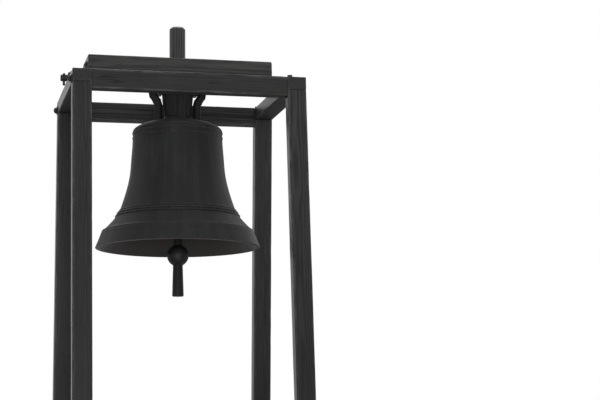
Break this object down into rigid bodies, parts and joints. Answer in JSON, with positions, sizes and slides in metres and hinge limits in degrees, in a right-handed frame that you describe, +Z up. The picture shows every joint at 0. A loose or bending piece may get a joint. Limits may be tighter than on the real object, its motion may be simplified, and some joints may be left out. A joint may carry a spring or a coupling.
{
  "type": "wooden bell tower",
  "caption": "Open timber bell tower on splayed posts, with a bronze bell that swings on a headstock in bearings and an iron clapper inside it.",
  "frame": {"origin": "on the ground, in the middle between the four post feet and under the bell's axis", "axes": "+X to the right across the front, +Y from front to back, +Z up"},
  "size_m": [1.55, 1.6126, 4.227],
  "materials": {
    "post_wood": "dark stained, weathered",
    "beam_wood": "dark stained, weathered",
    "headstock_wood": "dark stained, weathered",
    "bearing_iron": "painted black, worn",
    "forged_iron": "forged, dull, rust in places",
    "bell_bronze": "dark patina",
    "clapper_iron": "forged, worn bright where it strikes"
  },
  "bodies": {
    "tower": {"front_left_post": "post_wood", "front_right_post": "post_wood", "back_left_post": "post_wood", "back_right_post": "post_wood", "front_beam": "beam_wood", "back_beam": "beam_wood", "left_side_beam": "beam_wood", "right_side_beam": "beam_wood", "left_bearing_base": "bearing_iron", "left_bearing_cap": "bearing_iron", "right_bearing_base": "bearing_iron", "right_bearing_cap": "bearing_iron"},
    "swinging_bell": {"headstock": "headstock_wood", "headstock_post": "headstock_wood", "left_gudgeon": "forged_iron", "right_gudgeon": "forged_iron", "bell": "bell_bronze", "left_hanger": "forged_iron", "right_hanger": "forged_iron", "front_hanger": "forged_iron", "back_hanger": "forged_iron", "hanger_plates": "forged_iron", "clapper_staple": "forged_iron", "clapper_pin": "forged_iron"},
    "clapper": {"clapper": "clapper_iron"}
  },
  "joints": [
    {"name": "headstock_swing", "type": "hinge", "parent": "tower", "child": "swinging_bell", "pos_m": [0, 0, 3.854], "axis": [1, 0, 0], "range_deg": [-28, 28]},
    {"name": "clapper_swing", "type": "hinge", "parent": "swinging_bell", "child": "clapper", "pos_m": [0, 0, 3.488], "axis": [1, 0, 0], "range_deg": [-27.5, 27.5]}
  ]
}
